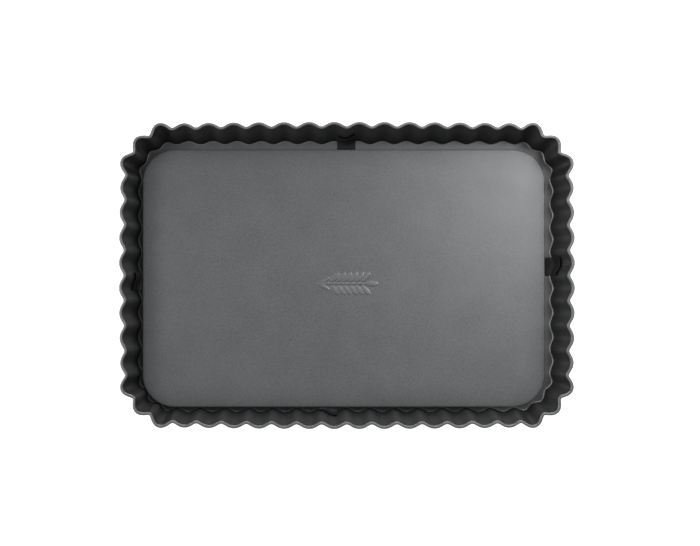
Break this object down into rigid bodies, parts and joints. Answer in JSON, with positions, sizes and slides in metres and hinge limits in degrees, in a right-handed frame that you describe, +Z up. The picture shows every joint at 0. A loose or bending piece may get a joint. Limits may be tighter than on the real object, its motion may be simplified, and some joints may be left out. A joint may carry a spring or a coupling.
{
  "type": "tart pan",
  "caption": "Rectangular fluted tart pan: a flared ring with a rolled rim and inward lip, a loose flat base lying on the lip, and thin black strips between them.",
  "frame": {"origin": "under the middle of the ring, on the surface that the pan stands on", "axes": "+Z up out of the pan, +X along the long side, +Y along the short side"},
  "size_m": [0.31, 0.209, 0.028],
  "materials": {
    "ring_coating": "satin dark grey non-stick coating with a fine speckle",
    "base_coating": "satin dark grey non-stick coating with a fine speckle",
    "black_strip": "matt black thin strip"
  },
  "bodies": {
    "ring": {"fluted_ring": "ring_coating", "back_tape": "black_strip", "front_tape": "black_strip", "left_tape": "black_strip", "right_tape": "black_strip"},
    "base": {"base_plate": "base_coating"}
  },
  "joints": [
    {"name": "base_lift", "type": "slide", "parent": "ring", "child": "base", "axis": [0, 0, 1], "range_m": [0, 0.05]}
  ]
}
